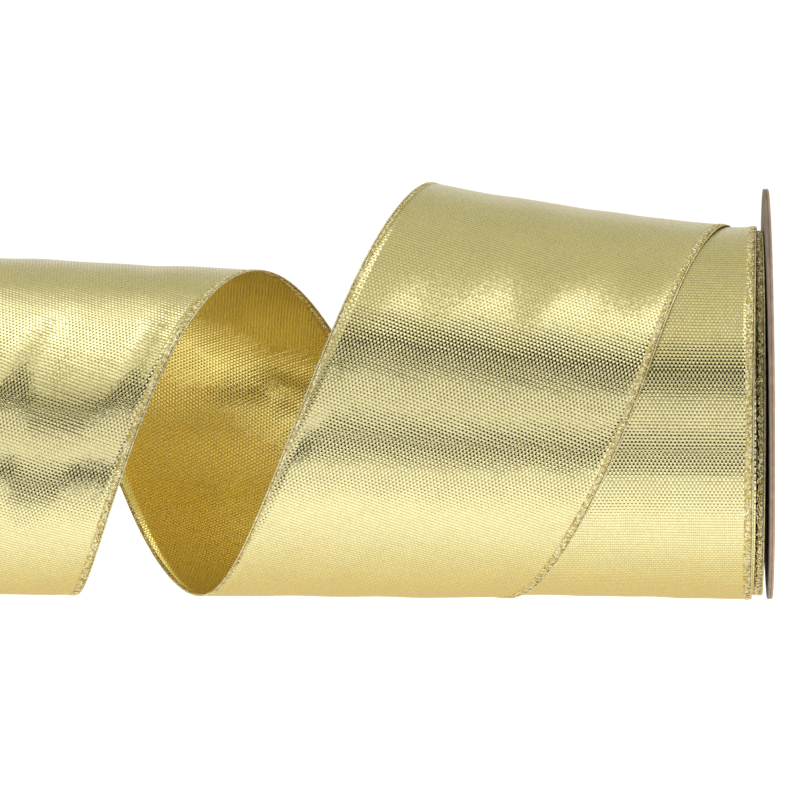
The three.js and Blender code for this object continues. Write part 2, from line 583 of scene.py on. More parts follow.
@dataclass(frozen=True)
class MetallicWeave(Finish):
    """Plain-woven cloth of metal-coated yarns, in millimetres along its own UV.

    Flat mirror-like floats and domed, softer crossings alternate like a chequerboard. The crevices between
    the yarns are darkened with painted shade.
    """

    name: str
    float_colour: Colour
    crossing_colour: Colour
    across_pitch: float = 0.391
    along_pitch: float = 0.725
    float_rise: float = 0.021
    crossing_rise: float = 0.034
    crossing_lean: float = 0.11
    float_roughness: float = 0.06
    crossing_roughness: float = 0.27
    yarn_tilt: float = 0.010
    row_tilt: float = 0.024
    # how much colour the painted shade leaves at each yarn cell's ends
    crevice_shade: float = 0.5
    metal_share: float = 1.0

    def paint(self, graph: Graph, shader: bpy.types.Node) -> None:
        """Wires the weave to the shader.

        Args:
            graph: the material's graph.
            shader: its shader node.
        """
        math_, fade = graph.math, graph.fade
        uv = graph.call("ShaderNodeUVMap", {}, uv_map="weave")
        split = graph.node("ShaderNodeSeparateXYZ")
        graph.feed(split.inputs[0], uv)
        across = math_("DIVIDE", split.outputs[0], self.across_pitch)
        along = math_("DIVIDE", split.outputs[1], self.along_pitch)
        column, row = math_("FLOOR", across), math_("FLOOR", along)
        odd = math_("MODULO", math_("ABSOLUTE", math_("ADD", column, row)), 2.0)
        fu = math_("SUBTRACT", math_("SUBTRACT", across, column), 0.5)
        fv = math_("SUBTRACT", math_("SUBTRACT", along, row), 0.5)
        round_u = math_("MAXIMUM", math_("COSINE", math_("MULTIPLY", fu, math.pi)), 0.001)
        round_v = math_("MAXIMUM", math_("COSINE", math_("MULTIPLY", fv, math.pi)), 0.001)
        cell = graph.call("ShaderNodeCombineXYZ", {0: column, 1: row})
        chance = graph.node("ShaderNodeTexWhiteNoise", noise_dimensions="2D")
        graph.feed(chance.inputs["Vector"], cell)
        lots = graph.node("ShaderNodeSeparateXYZ")
        graph.feed(lots.inputs[0], chance.outputs["Color"])
        lean_u = math_("MULTIPLY", math_("SUBTRACT", lots.outputs[0], 0.5), math_("MULTIPLY", fu, 0.5))
        lean_v = math_("MULTIPLY", math_("SUBTRACT", lots.outputs[1], 0.5), fv)
        lean = math_("MULTIPLY", math_("ADD", lean_u, lean_v), self.yarn_tilt * 2)
        pull = graph.node("ShaderNodeTexWhiteNoise", noise_dimensions="1D")
        graph.feed(pull.inputs["W"], row)
        rocked = math_("MULTIPLY", math_("SUBTRACT", pull.outputs["Value"], 0.5), fv)
        lean = math_("MULTIPLY_ADD", rocked, self.row_tilt, lean)
        low = math_("MULTIPLY", round_v, self.float_rise)
        high = math_("MULTIPLY_ADD", fv, self.crossing_lean, math_("MULTIPLY", round_v, self.crossing_rise))
        height = math_("ADD", math_("ADD", low, math_("MULTIPLY", odd, math_("SUBTRACT", high, low))), lean)
        bump = graph.node("ShaderNodeBump")
        graph.feed(bump.inputs["Height"], height)
        bump.inputs["Distance"].default_value = MM
        bump.inputs["Strength"].default_value = 1.0
        graph.feed(shader.inputs["Normal"], bump.outputs[0])
        drift = graph.noise(uv, 0.09, 3.0)
        base = graph.blend(odd, rgba(self.float_colour), rgba(self.crossing_colour))
        # Painted shade: the base colour darkens towards each yarn cell's edges, where the crevices between
        # yarns lie; a slow cloud and a random tone for each cell vary it as well.
        deep = math_("MULTIPLY", fade(round_v, 0.0, 0.45, self.crevice_shade), fade(round_u, 0.0, 0.35, 0.8))
        tone = math_("MULTIPLY", deep, fade(drift, 0.3, 0.7, 0.965, 1.0))
        tone = math_("MULTIPLY", tone, math_("MULTIPLY_ADD", lots.outputs[2], 0.10, 0.92))
        shaded = graph.node("ShaderNodeHueSaturation")
        graph.feed(shaded.inputs["Color"], base)
        graph.feed(shaded.inputs["Value"], tone)
        graph.feed(shader.inputs["Base Color"], shaded.outputs[0])
        more = self.crossing_roughness - self.float_roughness
        rough = math_("MULTIPLY_ADD", odd, more, self.float_roughness)
        graph.feed(shader.inputs["Roughness"], rough)
        shader.inputs["Metallic"].default_value = self.metal_share


@dataclass(frozen=True)
class MetalThread(Finish):
    """Flat metallic thread with painted glints: near-white patches and brighter or duller stitches in its
    colour.
    """

    name: str
    dark: Colour
    # the near-white colour of the painted glints
    light: Colour
    roughness: float = 0.26
    glint_scale: float = 1700.0
    wrinkle: float = 0.00012

    def paint(self, graph: Graph, shader: bpy.types.Node) -> None:
        """Wires the thread's painted glints, its roughness and its wrinkles to the shader.

        Args:
            graph: the material's graph.
            shader: its shader node.
        """
        place = graph.node("ShaderNodeTexCoord").outputs["Object"]
        fine = graph.noise(place, self.glint_scale, 2.0, 0.6)
        painted_stitch_glint = graph.call("ShaderNodeAttribute", {}, "Fac", attribute_name="painted_stitch_glint")
        # Painted glints: the fine noise and each stitch's random value blend the base colour from dark gold
        # to near white.
        tone = graph.math("ADD", graph.fade(fine, 0.38, 0.60), graph.math("MULTIPLY_ADD", painted_stitch_glint, 0.6, -0.3))
        tone = graph.math("MAXIMUM", graph.math("MINIMUM", tone, 1.0), 0.0)
        graph.feed(shader.inputs["Base Color"], graph.blend(tone, rgba(self.dark), rgba(self.light)))
        rough = graph.fade(fine, 0.3, 0.7, self.roughness * 1.5, self.roughness)
        graph.feed(shader.inputs["Roughness"], rough)
        bump = graph.node("ShaderNodeBump")
        graph.feed(bump.inputs["Height"], graph.noise(place, self.glint_scale * 1.3, 1.0))
        bump.inputs["Distance"].default_value = self.wrinkle
        graph.feed(shader.inputs["Normal"], bump.outputs[0])
        shader.inputs["Metallic"].default_value = 1.0


@dataclass(frozen=True)
class DrawnWire(Finish):
    """Thin drawn iron wire with faint die lines and spots of dull oxide."""

    name: str
    bright: Colour
    dull: Colour
    roughness: float = 0.3

    def paint(self, graph: Graph, shader: bpy.types.Node) -> None:
        """Wires the oxide spots and die lines to the shader.

        Args:
            graph: the material's graph.
            shader: its shader node.
        """
        place = graph.node("ShaderNodeTexCoord").outputs["Object"]
        spots = graph.noise(place, 900.0, 4.0, 0.6)
        dullness = graph.fade(spots, 0.45, 0.65)
        graph.feed(shader.inputs["Base Color"], graph.blend(dullness, rgba(self.bright), rgba(self.dull)))
        rough = graph.fade(spots, 0.4, 0.7, self.roughness, self.roughness * 2)
        graph.feed(shader.inputs["Roughness"], rough)
        bump = graph.node("ShaderNodeBump")
        graph.feed(bump.inputs["Height"], graph.noise(place, 4000.0, 1.0))
        bump.inputs["Distance"].default_value = 0.00001
        graph.feed(shader.inputs["Normal"], bump.outputs[0])
        shader.inputs["Metallic"].default_value = 1.0


@dataclass(frozen=True)
class PressedPaper(Finish):
    """Cardboard or kraft paper: long pulp fibres, specks, cloudy tone and a slightly rough face."""

    name: str
    pale: Colour
    deep: Colour
    speck: Colour
    fibre_scale: float = 420.0
    cloud_scale: float = 45.0
    speck_share: float = 0.7
    roughness: float = 0.85
    tooth: float = 0.00008
    seam_pitch: float = 0.0

    def paint(self, graph: Graph, shader: bpy.types.Node) -> None:
        """Wires the fibres, specks and clouds to the shader.

        Args:
            graph: the material's graph.
            shader: its shader node.
        """
        place = graph.node("ShaderNodeTexCoord").outputs["Object"]
        stretch = graph.call("ShaderNodeMapping", {"Vector": place, "Scale": (1.0, 0.35, 1.0)})
        turn = graph.call("ShaderNodeMapping", {"Vector": place, "Rotation": (1.1, 0.0, 0.0)})
        other = graph.call("ShaderNodeMapping", {"Vector": turn, "Scale": (1.0, 1.0, 0.3)})
        fibre = graph.noise(stretch, self.fibre_scale, 5.0, 0.65)
        cross = graph.noise(other, self.fibre_scale * 1.4, 4.0, 0.6)
        both = graph.math("MULTIPLY", graph.math("ADD", fibre, cross), 0.5)
        cloud = graph.noise(place, self.cloud_scale, 3.0)
        tone = graph.math("ADD", graph.fade(both, 0.36, 0.64), graph.math("MULTIPLY_ADD", cloud, 0.6, -0.3))
        base = graph.blend(graph.math("MINIMUM", tone, 1.0), rgba(self.deep), rgba(self.pale))
        dots = graph.noise(place, self.fibre_scale * 3.1, 2.0, 0.7)
        specks = graph.fade(dots, self.speck_share, self.speck_share + 0.05)
        base = graph.blend(specks, base, rgba(self.speck))
        height = both
        if self.seam_pitch:
            wave = graph.node("ShaderNodeTexWave", wave_type="BANDS", bands_direction="X")
            graph.feed(wave.inputs["Vector"], place)
            wave.inputs["Scale"].default_value = self.seam_pitch
            wave.inputs["Distortion"].default_value = 1.5
            line = graph.fade(wave.outputs["Fac"], 0.0, 0.05)
            base = graph.blend(line, rgba(self.speck), base)
            height = graph.math("MULTIPLY", both, line)
        graph.feed(shader.inputs["Base Color"], base)
        rough = graph.fade(both, 0.3, 0.7, self.roughness, self.roughness * 0.85)
        graph.feed(shader.inputs["Roughness"], rough)
        bump = graph.node("ShaderNodeBump")
        graph.feed(bump.inputs["Height"], height)
        bump.inputs["Distance"].default_value = self.tooth
        graph.feed(shader.inputs["Normal"], bump.outputs[0])
        shader.inputs["Specular IOR Level"].default_value = 0.25


@dataclass(frozen=True)
class ClearFilm(Finish):
    """Clear sticky tape: glossy, faintly yellow film with streaky glue behind it."""

    name: str
    tint: Colour
    roughness: float = 0.12

    def paint(self, graph: Graph, shader: bpy.types.Node) -> None:
        """Wires the glue streaks to the shader.

        Args:
            graph: the material's graph.
            shader: its shader node.
        """
        place = graph.node("ShaderNodeTexCoord").outputs["Object"]
        streaks = graph.noise(place, 300.0, 3.0)
        pale = tuple(min(1.0, c * 1.08) for c in self.tint)
        graph.feed(shader.inputs["Base Color"], graph.blend(streaks, rgba(self.tint), rgba(pale)))
        rough = graph.fade(streaks, 0.3, 0.7, self.roughness, self.roughness * 2)
        graph.feed(shader.inputs["Roughness"], rough)
        shader.inputs["Alpha"].default_value = 0.35
        shader.inputs["Coat Weight"].default_value = 0.3


GOLD_OUTSIDE = MetallicWeave("gold lame outside", (0.86, 0.765, 0.385), (0.88, 0.80, 0.43))
# The inside's deeper, more saturated gold is partly a deeper dye and partly painted reflection: the amber of
# light bounced between the turns.
GOLD_INSIDE = MetallicWeave(
    "gold lame inside", (0.97, 0.80, 0.25), (0.98, 0.82, 0.28), crossing_roughness=0.34, metal_share=0.85
)
# The light colour of each of these three finishes is the near white of its painted glints.
GOLD_THREAD = MetalThread("gold overlock thread", (0.62, 0.49, 0.15), (1.0, 0.97, 0.71), roughness=0.10)
GOLD_CORD = MetalThread(
    "gold border cord", (0.80, 0.72, 0.38), (0.93, 0.87, 0.56), roughness=0.42, wrinkle=0.00002
)
GOLD_BAND = MetalThread(
    "gold border band", (0.62, 0.49, 0.15), (1.0, 0.97, 0.71), roughness=0.10, wrinkle=0.00045
)
IRON = DrawnWire("iron wire", (0.33, 0.27, 0.20), (0.12, 0.08, 0.05))
GREY_BOARD = PressedPaper("grey flange board", (0.30, 0.235, 0.20), (0.22, 0.17, 0.14), (0.10, 0.07, 0.05))
KRAFT_FACING = PressedPaper("kraft facing", (0.47, 0.335, 0.235), (0.36, 0.25, 0.17), (0.17, 0.10, 0.06))
KRAFT_TUBE = PressedPaper(
    "kraft tube", (0.45, 0.33, 0.22), (0.34, 0.24, 0.15), (0.14, 0.09, 0.05), seam_pitch=26.0
)
TAPE_FILM = ClearFilm("clear tape", (0.93, 0.90, 0.78))


# ------------------------------------------------------------------ geometry node helpers


class NodePiece(Graph):
    """A Geometry Nodes tree with named inputs, which makes one plain mesh piece."""

    def __init__(self, name: str, sizes: dict[str, tuple[str, object]]) -> None:
        """Starts the tree and its group inputs.

        Args:
            name: the tree's name.
            sizes: for each named input, its socket type and its value.
        """
        super().__init__(bpy.data.node_groups.new(name, "GeometryNodeTree"))
        self.sizes = sizes
        face = self.tree.interface
        face.new_socket("Geometry", in_out="INPUT", socket_type="NodeSocketGeometry")
        self.keys = {}
        for label, (kind, _) in sizes.items():
            self.keys[label] = face.new_socket(label, in_out="INPUT", socket_type=kind).identifier
        face.new_socket("Geometry", in_out="OUTPUT", socket_type="NodeSocketGeometry")
        self.source = self.node("NodeGroupInput")

    def size(self, label: str) -> bpy.types.NodeSocket:
        """Gives a named input's socket."""
        return self.source.outputs[label]

    def finish(self, geometry: bpy.types.NodeSocket) -> None:
        """Ends the tree: instances are made real and the finish is set.

        Args:
            geometry: the last geometry.
        """
        real = self.call("GeometryNodeRealizeInstances", {"Geometry": geometry})
        dressed = self.call("GeometryNodeSetMaterial", {"Geometry": real, "Material": self.size("Finish")})
        end = self.node("NodeGroupOutput")
        self.feed(end.inputs[0], dressed)

    def build(self, thing: bpy.types.Object) -> bpy.types.Object:
        """Runs the tree on an object and leaves a plain mesh in its place.

        Args:
            thing: the object that feeds the tree.

        Returns:
            The same object, with the finished mesh and no modifier.
        """
        modifier = thing.modifiers.new("make", "NODES")
        modifier.node_group = self.tree
        for label, (_, value) in self.sizes.items():
            modifier[self.keys[label]] = value
        graph = bpy.context.evaluated_depsgraph_get()
        made = bpy.data.meshes.new_from_object(
            thing.evaluated_get(graph), preserve_all_data_layers=True, depsgraph=graph
        )
        thing.modifiers.clear()
        thing.data = made
        made.name = thing.name
        made.polygons.foreach_set("use_smooth", [True] * len(made.polygons))
        return thing


def set_axes(thing: bpy.types.Object, **axes: np.ndarray) -> None:
    """Stores a direction at every point of a mesh, under each given name.

    Args:
        thing: the mesh object.
        **axes: arrays of unit vectors.
    """
    for name, values in axes.items():
        layer = thing.data.attributes.new(name, "FLOAT_VECTOR", "POINT")
        layer.data.foreach_set("vector", values.astype(np.float32).ravel())


# ------------------------------------------------------------------ the loose ribbon


@dataclass
class LooseRibbon:
    """The loose length of ribbon: cloth, wires and bound borders. All of it stays with the ribbon."""

    run: RibbonRun = field(default_factory=RibbonRun)
    flat_width: float = 0.0635
    flat_length: float = 1.03
    thickness: float = 0.16  # mm
    inset: float = 0.35  # mm of border that the cloth leaves to the binding
    columns: int = 29
    sag_depth: float = 0.8  # mm
    sag_turns: float = 0.09
    ripple: float = 0.05  # mm
    wire_radius: float = 0.15
    wire_inset: float = 0.42
    stitch_pitch: float = 0.66
    stitch_height: float = 0.31
    thread_radius: float = 0.068
    stitch_lean: float = 0.30  # radians
    band_width: dict[Side, float] = field(default_factory=lambda: {Side.LEFT: 1.15, Side.RIGHT: 1.95})

    def ripples(self, u: np.ndarray, v: np.ndarray) -> np.ndarray:
        """Gives the cloth's faint ripples: a fixed sum of slow waves that fades at the borders.

        Args:
            u: distance across the cloth, in millimetres from its middle.
            v: distance along it.

        Returns:
            Heights in millimetres.
        """
        chance = np.random.default_rng(11)
        height = np.zeros_like(u)
        for _ in range(16):
            length = chance.uniform(9.0, 34.0)
            heading = chance.uniform(-0.6, 0.6)
            phase = chance.uniform(0, TURN)
            swing = chance.uniform(0.4, 1.0) * length / 20
            ahead = u * np.cos(heading) + v * np.sin(heading) * 0.4
            height += swing * np.sin(TURN / length * ahead + phase)
        reach = np.clip(1 - np.abs(u) / (self.flat_width / MM / 2 - 1.0), 0, 1)
        return height * self.ripple * np.minimum(1.0, reach * 6)

    def cloth(self, ladder: Ladder) -> bpy.types.Object:
        """Builds the cloth as a thin closed sheet between the borders.

        Args:
            ladder: the frames along the ribbon.

        Returns:
            The cloth, with a finish on each face and a UV in millimetres.
        """
        rows, columns = len(ladder.turns), self.columns
        share = np.linspace(0, 1, columns)
        inset = self.inset * MM
        reach = inset + share[None, :] * (ladder.width[:, None] - 2 * inset)
        offset = (reach - ladder.width[:, None] / 2) / MM
        u = offset * np.sqrt(1 - ladder.slant[:, None] ** 2)
        v = ladder.travel[:, None] / MM + offset * ladder.slant[:, None]
        sag = -self.sag_depth * np.sin(math.pi * share)[None, :] * np.exp(
            -((ladder.turns[:, None] / self.sag_turns) ** 2)
        )
        rise = self.ripples(u, v) + sag
        skin = []
        for half in (self.thickness / 2, -self.thickness / 2):
            skin.append(
                ladder.right[:, None, :]
                + ladder.across[:, None, :] * reach[:, :, None]
                + ladder.out[:, None, :] * ((rise + half) * MM)[:, :, None]
            )
        points = np.concatenate([skin[0].reshape(-1, 3), skin[1].reshape(-1, 3)])
        count = rows * columns
        outer = grid_faces(rows, columns, closed=False)
        inner = grid_faces(rows, columns, closed=False, start=count, flip=True)
        rim = []
        loop = list(range(columns))
        loop += [i * columns + columns - 1 for i in range(1, rows)]
        loop += [(rows - 1) * columns + k for k in range(columns - 2, -1, -1)]
        loop += [i * columns for i in range(rows - 2, 0, -1)]
        for a, b in zip(loop, loop[1:] + loop[:1]):
            rim.append([b, a, a + count, b + count])
        thing = make_object("ribbon_cloth_woven", points, outer + inner + rim)
        faces = thing.data.polygons
        faces.foreach_set("material_index", [0] * len(outer) + [1] * len(inner) + [0] * len(rim))
        faces.foreach_set("use_smooth", [True] * (len(outer) + len(inner)) + [False] * len(rim))
        flat = np.stack([u.ravel(), v.ravel()], axis=1)
        set_uv(thing, "weave", np.concatenate([flat, flat]))
        turn_outwards(thing)
        thing.data.materials.append(GOLD_OUTSIDE.material())
        thing.data.materials.append(GOLD_INSIDE.material())
        return thing

    def wire(self, ladder: Ladder, side: Side) -> bpy.types.Object:
        """Builds the thin wire inside a border.

        Args:
            ladder: the frames along the ribbon.
            side: which border.

        Returns:
            The wire.
        """
        angles = np.arange(8) / 8 * TURN
        section = [
            (self.wire_inset + self.wire_radius * math.cos(a), self.wire_radius * math.sin(a)) for a in angles
        ]
        thing = sweep(f"{side.value}_border_wire", ladder, side, section)
        thing.data.materials.append(IRON.material())
        return thing

    def cord(self, ladder: Ladder, side: Side) -> bpy.types.Object:
        """Builds the smooth padding under the stitches: a bead at the border and a thin flat tail.

        Args:
            ladder: the frames along the ribbon.
            side: which border.

        Returns:
            The cord.
        """
        tail = self.band_width[side]
        half = [
            (0.06, 0.10), (0.16, 0.14), (0.26, 0.11), (0.34, 0.10), (tail * 0.6, 0.125), (tail, 0.095),
        ]
        under = [(across, -out) for across, out in half]
        section = [(0.03, 0.0), *under, (tail + 0.04, 0.0), *half[::-1]]
        thing = sweep(f"{side.value}_border_cord", ladder, side, section)
        thing.data.materials.append(GOLD_CORD.material())
        thing.data.materials.append(GOLD_BAND.material())
        count = len(section)
        around = np.arange(len(thing.data.polygons)) % count
        on_tail = (around >= 3) & (around < count - 4)
        thing.data.polygons.foreach_set("material_index", on_tail.astype(np.int32))
        return thing

    def stitches(self, ladder: Ladder, side: Side) -> bpy.types.Object:
        """Builds the overlock stitches that wrap a border, one ring for each.

        Args:
            ladder: the frames along the ribbon.
            side: which border.

        Returns:
            The stitches.
        """
        number = "NodeSocketFloat"
        tree = NodePiece(
            f"{side.value} overlock stitches",
            {
                "Pitch": (number, self.stitch_pitch * MM),
                "Reach": (number, self.band_width[side] * MM),
                "Height": (number, self.stitch_height * MM),
                "Thread Radius": (number, self.thread_radius * MM),
                "Lean": (number, self.stitch_lean),
                "Seed": ("NodeSocketInt", 3 + side.sign),
                "Finish": ("NodeSocketMaterial", GOLD_THREAD.material()),
            },
        )
        border, inward = ladder.border(side)
        edges = [(i, i + 1) for i in range(len(border) - 1)]
        mesh = bpy.data.meshes.new(f"{side.value}_border_stitches")
        mesh.from_pydata([tuple(p) for p in border.tolist()], edges, [])
        thing = bpy.data.objects.new(mesh.name, mesh)
        bpy.context.scene.collection.objects.link(thing)
        set_axes(thing, inward=inward, out=ladder.out)

        path = tree.call("GeometryNodeMeshToCurve", {"Mesh": tree.size("Geometry")})
        evenly = tree.node("GeometryNodeResampleCurve", mode="LENGTH")
        tree.feed(evenly.inputs["Curve"], path)
        tree.feed(evenly.inputs["Length"], tree.size("Pitch"))
        ring = tree.call("GeometryNodeCurvePrimitiveCircle", {"Resolution": 10, "Radius": 1.0}, mode="RADIUS")
        half_reach = tree.math("MULTIPLY", tree.size("Reach"), 0.5)
        half_height = tree.math("MULTIPLY", tree.size("Height"), 0.5)
        scale = tree.call("ShaderNodeCombineXYZ", {0: half_reach, 1: half_height, 2: 1.0})
        shift = tree.call("ShaderNodeCombineXYZ", {0: half_reach})
        ring = tree.call(
            "GeometryNodeTransform",
            {"Geometry": ring, "Translation": shift, "Rotation": (math.pi / 2, 0, 0), "Scale": scale},
        )
        thread = tree.call(
            "GeometryNodeCurvePrimitiveCircle",
            {"Resolution": 4, "Radius": tree.size("Thread Radius")},
            mode="RADIUS",
        )
        stitch = tree.call("GeometryNodeCurveToMesh", {"Curve": ring, "Profile Curve": thread})
        axes = []
        for name in ("inward", "out"):
            read = tree.node("GeometryNodeInputNamedAttribute", data_type="FLOAT_VECTOR")
            read.inputs["Name"].default_value = name
            axes.append(read.outputs["Attribute"])
        facing = tree.call(
            "FunctionNodeAxesToRotation", {0: axes[0], 1: axes[1]}, primary_axis="X", secondary_axis="Z"
        )
        placed = tree.call(
            "GeometryNodeInstanceOnPoints",
            {"Points": evenly.outputs[0], "Instance": stitch, "Rotation": facing},
        )

        def lot(low: float, high: float, step: int) -> bpy.types.NodeSocket:
            """Gives a random number for each stitch.

            Args:
                low: the lowest number.
                high: the highest number.
                step: what is added to the seed, so that each use draws its own numbers.

            Returns:
                The number's socket.
            """
            draw = tree.node("FunctionNodeRandomValue", data_type="FLOAT")
            draw.inputs[2].default_value = low
            draw.inputs[3].default_value = high
            tree.feed(draw.inputs["Seed"], tree.math("ADD", tree.size("Seed"), float(step)))
            return draw.outputs[1]

        lean = tree.math("ADD", tree.size("Lean"), lot(-0.75, 0.55, 1))
        swing = tree.call("ShaderNodeCombineXYZ", {0: lot(-0.12, 0.12, 2), 2: lean})
        placed = tree.call(
            "GeometryNodeRotateInstances", {"Instances": placed, "Rotation": swing, "Local Space": True}
        )
        spread = tree.call("ShaderNodeCombineXYZ", {0: lot(0.6, 1.08, 3), 1: 1.0, 2: lot(0.85, 1.15, 4)})
        placed = tree.call(
            "GeometryNodeScaleInstances", {"Instances": placed, "Scale": spread, "Local Space": True}
        )
        # each stitch gets a random value that makes it a brighter or duller painted glint in the thread's
        # colour
        marked = tree.node("GeometryNodeStoreNamedAttribute", data_type="FLOAT", domain="INSTANCE")
        tree.feed(marked.inputs["Geometry"], placed)
        marked.inputs["Name"].default_value = "painted_stitch_glint"
        tree.feed(marked.inputs["Value"], lot(0.0, 1.0, 5))
        tree.finish(marked.outputs[0])
        return tree.build(thing)

    def build(self, place: SpoolPlace) -> None:
        """Args:
            place: the spool's place.
        """
        ladder = self.run.ladder(place)
        trims = []
        for side in Side:
            wire = self.wire(ladder, side)
            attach(wire, Body.RIBBON.value)
            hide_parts(f"{side.value}_edge_wire")
            cord = self.cord(ladder, side)
            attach(cord, Body.RIBBON.value)
            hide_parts(f"{side.value}_edge_binding")
            stitches = self.stitches(ladder, side)
            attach(stitches, Body.RIBBON.value)
            trims += [wire, cord, stitches]
            LOG.info("%s border: wire, cord and stitches, %d faces", side.value, len(stitches.data.polygons))
        cloth = self.cloth(ladder)
        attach(cloth, Body.RIBBON.value)
        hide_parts("ribbon_cloth")
        LOG.info("loose cloth: %d faces, %.3f m long", len(cloth.data.polygons), ladder.travel[-1])


# ------------------------------------------------------------------ the wound turns


@dataclass
class WoundTurns:
    """The ribbon that is still wound tight, as one long spiral with its two bound borders."""

    inner_radius: float = 0.01982
    outer_radius: float = 0.03312
    turns: int = 49
    steps: int = 72
    cloth_thickness: float = 0.00014
    cord_thickness: float = 0.00025
    flat_width: float = 0.0635

    def spiral(
        self, name: str, place: SpoolPlace, section: tuple[float, float, float], finish: Finish
    ) -> bpy.types.Object:
        """Builds one spiral band by sweeping a flat section along a spiral.

        Args:
            name: the piece's name.
            place: the spool's place.
            section: the band's lowest and highest place along the axis, and its thickness.
            finish: its finish.

        Returns:
            The band, with a UV in millimetres.
        """
        low, high, thickness = section
        number, vector = "NodeSocketFloat", "NodeSocketVector"
        tree = NodePiece(
            f"{name} spiral",
            {
                "Turns": (number, float(self.turns)),
                "Steps": ("NodeSocketInt", self.steps),
                "Inner Radius": (number, self.inner_radius),
                "Outer Radius": (number, self.outer_radius),
                "Width": (number, high - low),
                "Thickness": (number, thickness),
                "Centre": (vector, (place.centre.x + (low + high) / 2, place.centre.y, place.centre.z)),
                "Finish": ("NodeSocketMaterial", finish.material()),
            },
        )
        coil = tree.call(
            "GeometryNodeCurveSpiral",
            {
                "Resolution": tree.size("Steps"),
                "Rotations": tree.size("Turns"),
                "Start Radius": tree.size("Inner Radius"),
                "End Radius": tree.size("Outer Radius"),
                "Height": 0.0,
            },
        )
        run = tree.node("GeometryNodeSplineParameter").outputs["Length"]
        coil = tree.call(
            "GeometryNodeStoreNamedAttribute",
            {"Geometry": coil, "Name": "along", "Value": run},
            data_type="FLOAT",
        )
        level = tree.node("GeometryNodeSetCurveNormal")
        level.mode = "Z_UP"
        tree.feed(level.inputs["Curve"], coil)
        band = tree.call(
            "GeometryNodeCurvePrimitiveQuadrilateral",
            {0: tree.size("Thickness"), 1: tree.size("Width")},
        )
        height = tree.node("ShaderNodeSeparateXYZ")
        tree.feed(height.inputs[0], tree.node("GeometryNodeInputPosition").outputs[0])
        band = tree.call(
            "GeometryNodeStoreNamedAttribute",
            {"Geometry": band, "Name": "across", "Value": height.outputs[1]},
            data_type="FLOAT",
        )
        swept = tree.call(
            "GeometryNodeCurveToMesh",
            {"Curve": level.outputs[0], "Profile Curve": band, "Fill Caps": True},
        )
        reads = []
        for label in ("across", "along"):
            read = tree.node("GeometryNodeInputNamedAttribute", data_type="FLOAT")
            read.inputs["Name"].default_value = label
            reads.append(tree.math("MULTIPLY", read.outputs["Attribute"], 1 / MM))
        flat = tree.call("ShaderNodeCombineXYZ", {0: reads[0], 1: reads[1]})
        mapped = tree.node("GeometryNodeStoreNamedAttribute", data_type="FLOAT2", domain="CORNER")
        tree.feed(mapped.inputs["Geometry"], swept)
        mapped.inputs["Name"].default_value = "weave"
        tree.feed(mapped.inputs["Value"], flat)
        turned_up = tree.call(
            "GeometryNodeTransform",
            {
                "Geometry": mapped.outputs[0],
                "Translation": tree.size("Centre"),
                "Rotation": (math.pi / 2, 0.0, math.pi / 2),
            },
        )
        tree.finish(turned_up)
        thing = bpy.data.objects.new(name, bpy.data.meshes.new(name))
        bpy.context.scene.collection.objects.link(thing)
        tree.build(thing)
        thing.data.polygons.foreach_set("use_smooth", [False] * len(thing.data.polygons))
        return thing

    def build(self, place: SpoolPlace) -> None:
        """Args:
            place: the spool's place.
        """
        for side in Side:
            low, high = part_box(f"wound_{side.value}_edge")
            section = (low.x - place.centre.x, high.x - place.centre.x, self.cord_thickness)
            border = self.spiral(f"wound_{side.value}_border", place, section, GOLD_THREAD)
            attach(border, Body.SPOOL.value)
            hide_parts(f"wound_{side.value}_edge")
        low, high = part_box("wound_cloth")
        section = (low.x - place.centre.x, high.x - place.centre.x, self.cloth_thickness)
        cloth = self.spiral("wound_roll_cloth", place, section, GOLD_OUTSIDE)
        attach(cloth, Body.SPOOL.value)
        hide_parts("wound_cloth")


# ------------------------------------------------------------------ the cardboard spool


